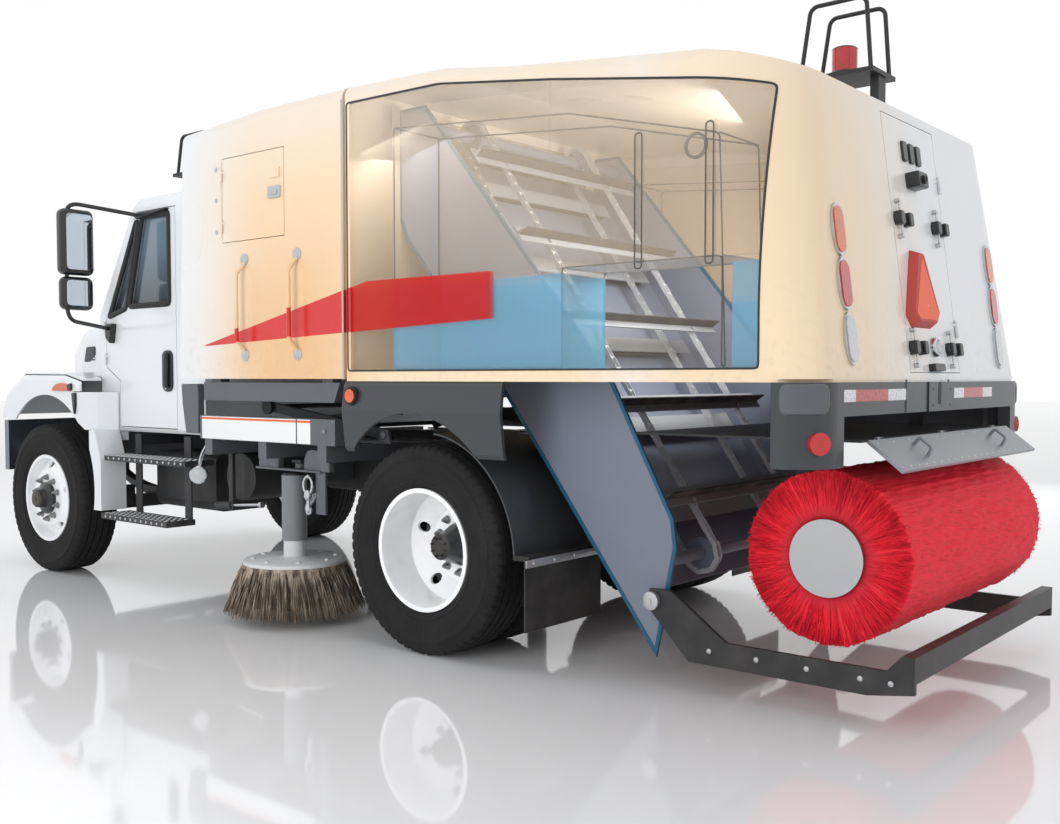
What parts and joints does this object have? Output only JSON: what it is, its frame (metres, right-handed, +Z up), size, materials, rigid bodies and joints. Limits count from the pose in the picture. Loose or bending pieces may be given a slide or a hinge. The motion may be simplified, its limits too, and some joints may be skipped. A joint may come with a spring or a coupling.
{
  "type": "street sweeper truck",
  "caption": "Street sweeper truck with a cab, a high-lift side-dumping hopper, a chain elevator, a rear broom and side brooms.",
  "frame": {"origin": "middle of the truck's length and width, on the ground", "axes": "+X towards the front bumper, +Y to the driver's left, +Z up"},
  "size_m": [6.69, 2.9, 3.05],
  "materials": {
    "cab_white": "gloss",
    "body_white": "gloss",
    "dark_glass": "smooth, dark tint",
    "cab_trim": "grained",
    "black_paint": "satin",
    "grille_black": "satin",
    "bumper_white": "gloss",
    "step_steel": "brushed, perforated",
    "engine_grey": "rough",
    "tyre": "matt",
    "wheel_white": "gloss",
    "clear_panel": "clear",
    "skirt_grey": "satin",
    "conveyor_blue": "satin, blue grey",
    "chain_black": "oiled",
    "tank_clear": "clear, blue tint",
    "core_steel": "brushed",
    "bristle_red": "fibrous",
    "housing_grey": "satin",
    "cover_grey": "satin",
    "bracket_grey": "satin",
    "bristle_grey": "fibrous",
    "lift_grey": "satin",
    "fitting_black": "satin",
    "sign_orange": "reflective",
    "lamp_red": "clear coat",
    "flap_black": "matt"
  },
  "bodies": {
    "chassis": {"frame_rails": "black_paint", "engine_block": "engine_grey", "front_axle": "black_paint", "rear_axle": "black_paint", "cab_shell": "cab_white", "windshield": "dark_glass", "cab_interior": "cab_trim", "front_bumper": "bumper_white", "cab_steps": "step_steel", "tanks_under": "black_paint", "body_mid": "body_white", "body_rear": "body_white", "side_window": "clear_panel", "body_base": "body_white", "skirts": "skirt_grey", "rear_bumper": "skirt_grey", "conveyor_housing": "conveyor_blue", "conveyor_chain": "chain_black", "water_tanks": "tank_clear", "broom_housing": "housing_grey", "lift_base": "bracket_grey", "beacon_guards": "fitting_black", "lamps": "lamp_red", "mud_flaps": "flap_black"},
    "hood": {"hood": "cab_white", "grille": "grille_black"},
    "door_left": {"door_left": "cab_white", "door_glass_left": "dark_glass", "mirror_left": "black_paint"},
    "door_right": {"door_right": "cab_white", "door_glass_right": "dark_glass", "mirror_right": "black_paint"},
    "knuckle_left": {"knuckle_left": "black_paint"},
    "knuckle_right": {"knuckle_right": "black_paint"},
    "wheel_front_left": {"tyre_front_left": "tyre", "wheel_front_left": "wheel_white"},
    "wheel_front_right": {"tyre_front_right": "tyre", "wheel_front_right": "wheel_white"},
    "wheels_rear_left": {"tyres_rear_left": "tyre", "wheels_rear_left": "wheel_white"},
    "wheels_rear_right": {"tyres_rear_right": "tyre", "wheels_rear_right": "wheel_white"},
    "lift_outer": {"lift_arms_outer": "lift_grey"},
    "lift_inner": {"lift_arms_inner": "lift_grey"},
    "lift_platform": {"lift_platform": "lift_grey"},
    "hopper": {"hopper_shell": "body_white"},
    "hopper_hatch": {"hopper_hatch": "body_white"},
    "dump_door": {"dump_door": "body_white"},
    "rear_door": {"rear_door": "body_white", "rear_door_fittings": "fitting_black", "slow_sign": "sign_orange"},
    "broom_lift": {"broom_arm": "black_paint"},
    "broom": {"broom_core": "core_steel", "broom_bristles": "bristle_red"},
    "broom_cover": {"broom_cover": "cover_grey"},
    "side_arm_left": {"side_arm_left": "bracket_grey"},
    "side_arm_right": {"side_arm_right": "bracket_grey"},
    "side_broom_left": {"side_broom_left": "bristle_grey"},
    "side_broom_right": {"side_broom_right": "bristle_grey"}
  },
  "joints": [
    {"name": "hood_tilt", "type": "hinge", "parent": "chassis", "child": "hood", "pos_m": [3.285, 0, 1.06], "axis": [0, 1, 0], "range_deg": [0, 55]},
    {"name": "door_left_swing", "type": "hinge", "parent": "chassis", "child": "door_left", "pos_m": [2.125, 1.014, 1.5], "axis": [0, 0, -1], "range_deg": [0, 70]},
    {"name": "door_right_swing", "type": "hinge", "parent": "chassis", "child": "door_right", "pos_m": [2.125, -1.014, 1.5], "axis": [0, 0, 1], "range_deg": [0, 70]},
    {"name": "steer_left", "type": "hinge", "parent": "chassis", "child": "knuckle_left", "pos_m": [2.601, 0.89, 0.508], "axis": [0, 0, 1], "range_deg": [-35, 35]},
    {"name": "steer_right", "type": "hinge", "parent": "chassis", "child": "knuckle_right", "pos_m": [2.601, -0.89, 0.508], "axis": [0, 0, 1], "range_deg": [-35, 35]},
    {"name": "wheel_front_left_spin", "type": "hinge", "parent": "knuckle_left", "child": "wheel_front_left", "pos_m": [2.601, 1.074, 0.508], "axis": [0, 1, 0], "continuous": true},
    {"name": "wheel_front_right_spin", "type": "hinge", "parent": "knuckle_right", "child": "wheel_front_right", "pos_m": [2.601, -1.074, 0.508], "axis": [0, 1, 0], "continuous": true},
    {"name": "wheels_rear_left_spin", "type": "hinge", "parent": "chassis", "child": "wheels_rear_left", "pos_m": [-1.055, 0.909, 0.508], "axis": [0, 1, 0], "continuous": true},
    {"name": "wheels_rear_right_spin", "type": "hinge", "parent": "chassis", "child": "wheels_rear_right", "pos_m": [-1.055, -0.909, 0.508], "axis": [0, 1, 0], "continuous": true},
    {"name": "lift_raise", "type": "hinge", "parent": "chassis", "child": "lift_outer", "pos_m": [-0.355, 0, 1.02], "axis": [0, -1, 0], "range_deg": [0, 50]},
    {"name": "lift_cross", "type": "hinge", "parent": "lift_outer", "child": "lift_inner", "pos_m": [0.165, 0, 1.09], "axis": [0, -1, 0], "range_deg": [-100, 0]},
    {"name": "lift_level", "type": "hinge", "parent": "lift_inner", "child": "lift_platform", "pos_m": [-0.355, 0, 1.16], "axis": [0, -1, 0], "range_deg": [0, 50]},
    {"name": "hopper_dump", "type": "hinge", "parent": "lift_platform", "child": "hopper", "pos_m": [0, -1.205, 1.29], "axis": [1, 0, 0], "range_deg": [0, 50]},
    {"name": "hatch_swing", "type": "hinge", "parent": "hopper", "child": "hopper_hatch", "pos_m": [0.485, 1.228, 2.32], "axis": [0, 0, -1], "range_deg": [0, 100]},
    {"name": "dump_door_swing", "type": "hinge", "parent": "hopper", "child": "dump_door", "pos_m": [0.165, -1.228, 2.642], "axis": [-1, 0, 0], "range_deg": [0, 60]},
    {"name": "rear_door_swing", "type": "hinge", "parent": "chassis", "child": "rear_door", "pos_m": [-3.01875, -0.302, 1.895], "axis": [0.1338, 0, 0.991], "range_deg": [0, 100]},
    {"name": "broom_lift_hinge", "type": "hinge", "parent": "chassis", "child": "broom_lift", "pos_m": [-2.195, -0.875, 0.56], "axis": [0, -1, 0], "range_deg": [0, 20]},
    {"name": "broom_spin", "type": "hinge", "parent": "broom_lift", "child": "broom", "pos_m": [-2.955, 0, 0.622], "axis": [0, 1, 0], "continuous": true},
    {"name": "broom_cover_tilt", "type": "hinge", "parent": "chassis", "child": "broom_cover", "pos_m": [-3.109, 0, 1.096], "axis": [0, 1, 0], "range_deg": [0, 70]},
    {"name": "side_arm_left_swing", "type": "hinge", "parent": "chassis", "child": "side_arm_left", "pos_m": [0.345, 0.79, 0.785], "axis": [0, 0, -1], "range_deg": [0, 30]},
    {"name": "side_arm_right_swing", "type": "hinge", "parent": "chassis", "child": "side_arm_right", "pos_m": [0.345, -0.79, 0.785], "axis": [0, 0, 1], "range_deg": [0, 30]},
    {"name": "side_broom_left_spin", "type": "hinge", "parent": "side_arm_left", "child": "side_broom_left", "pos_m": [0.075, 1.06, 0.33], "axis": [0, 0, 1], "continuous": true},
    {"name": "side_broom_right_spin", "type": "hinge", "parent": "side_arm_right", "child": "side_broom_right", "pos_m": [0.075, -1.06, 0.33], "axis": [0, 0, 1], "continuous": true}
  ],
  "couplings": [
    {"joint": "steer_right", "follows": "steer_left", "ratio": 1},
    {"joint": "lift_cross", "follows": "lift_raise", "ratio": -2},
    {"joint": "lift_level", "follows": "lift_raise", "ratio": 1}
  ]
}
